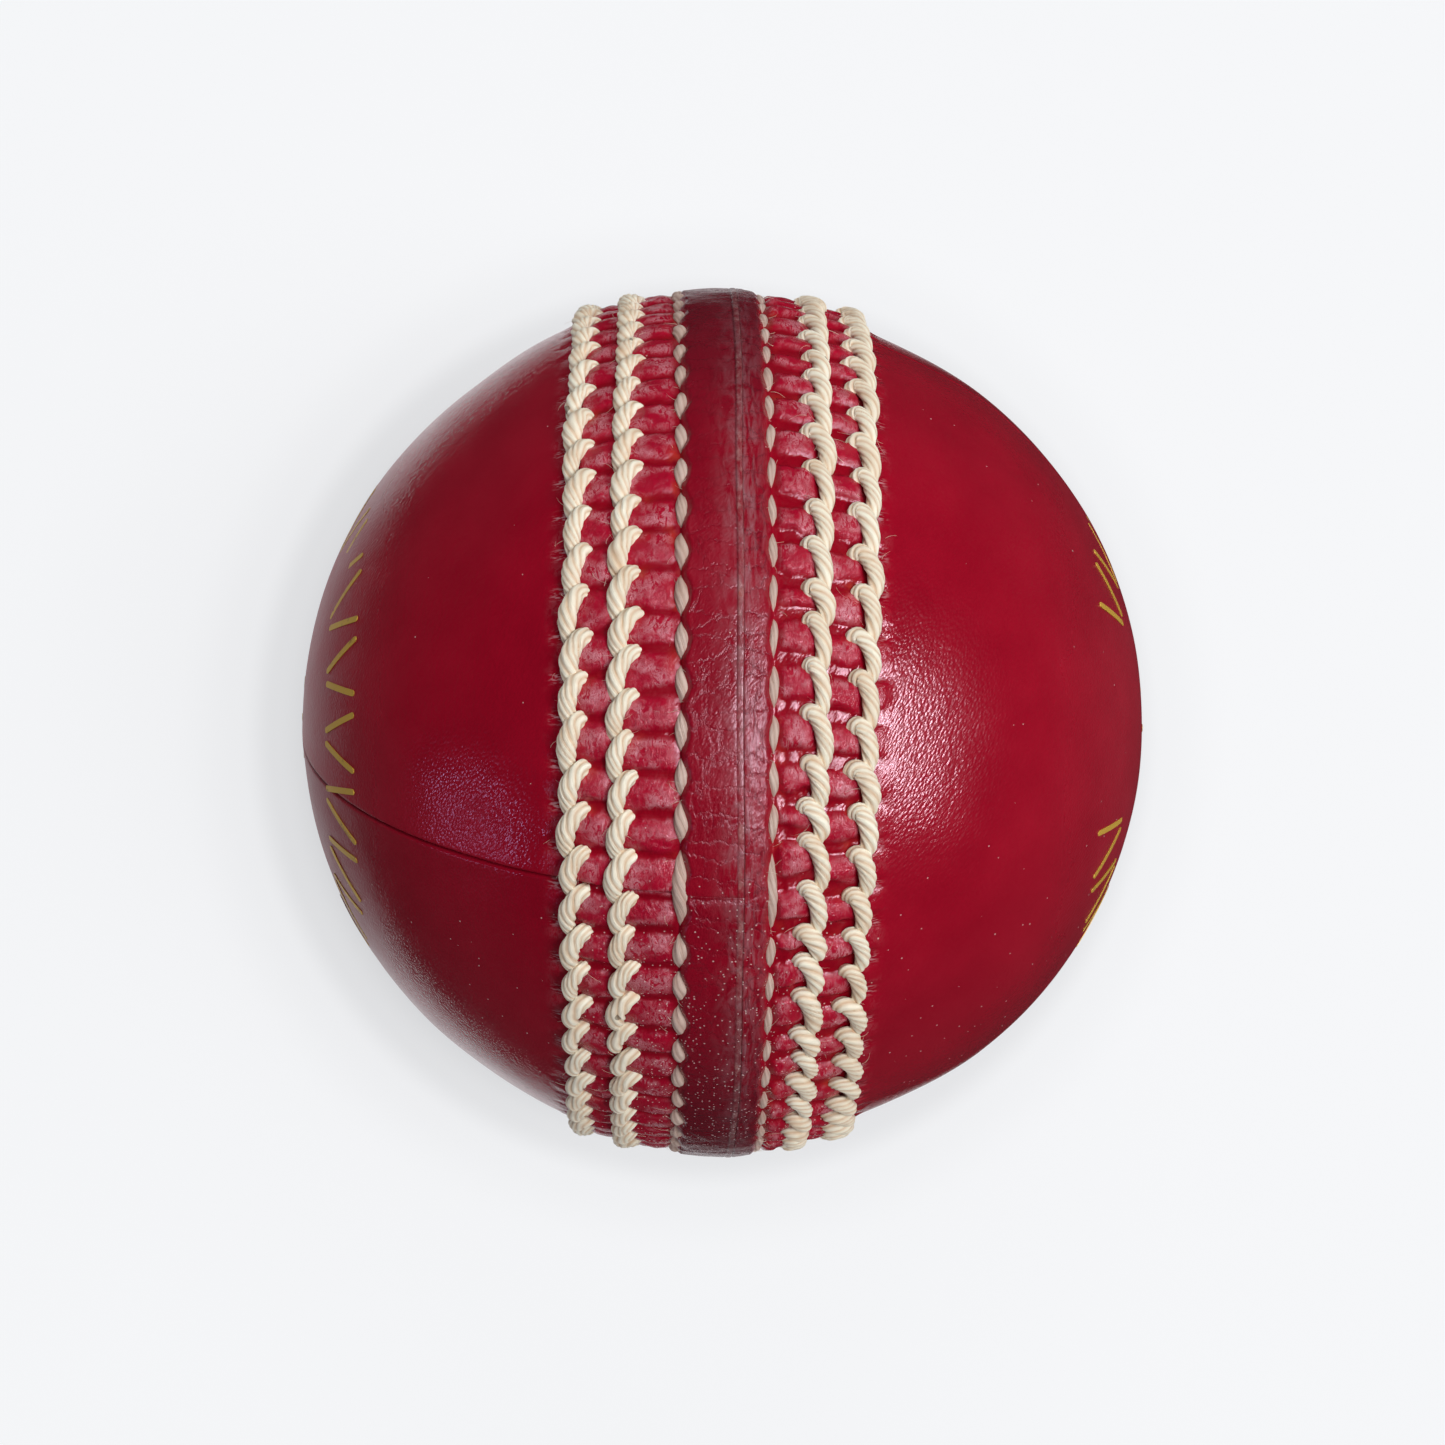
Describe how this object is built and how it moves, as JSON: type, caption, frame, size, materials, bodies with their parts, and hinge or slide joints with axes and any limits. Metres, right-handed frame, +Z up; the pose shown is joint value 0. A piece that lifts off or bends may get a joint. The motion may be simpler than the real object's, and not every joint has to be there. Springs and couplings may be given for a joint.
{
  "type": "cricket ball",
  "caption": "Red leather four-piece cricket ball with a raised welt, rows of pale hand stitching either side of it and a cork and yarn core.",
  "frame": {"origin": "centre of the ball", "axes": "+X is the axis the seam runs round, pointing to the right-hand cup, so the seam plane is X = 0; +Z is up with the seam upright; +Y completes the right-handed frame"},
  "size_m": [0.072, 0.0746, 0.0746],
  "materials": {
    "red_leather": "polished, lacquered",
    "lining_leather": "matt, undyed",
    "linen_thread": "waxed, twisted",
    "cork": "matt, granular",
    "worsted_yarn": "matt, fibrous",
    "gold_foil": "worn, dull"
  },
  "bodies": {
    "root": {"leather_quarter_left_front": "red_leather", "leather_quarter_left_back": "red_leather", "leather_quarter_right_top": "red_leather", "leather_quarter_right_bottom": "red_leather", "cup_lining_left": "lining_leather", "cup_lining_right": "lining_leather", "stitch_row_left_outer": "linen_thread", "stitch_row_left_middle": "linen_thread", "stitch_row_left_inner": "linen_thread", "stitch_row_right_inner": "linen_thread", "stitch_row_right_middle": "linen_thread", "stitch_row_right_outer": "linen_thread", "closing_thread": "linen_thread", "quarter_joint_thread_left": "linen_thread", "quarter_joint_thread_right": "linen_thread", "cork_nucleus": "cork", "yarn_winding_1": "worsted_yarn", "yarn_winding_2": "worsted_yarn", "yarn_winding_3": "worsted_yarn", "yarn_winding_4": "worsted_yarn", "yarn_winding_5": "worsted_yarn", "cork_strips_1": "cork", "cork_strips_2": "cork", "cork_strips_3": "cork", "cork_strips_4": "cork", "gold_foil_left": "gold_foil", "gold_foil_right": "gold_foil"}
  },
  "joints": []
}
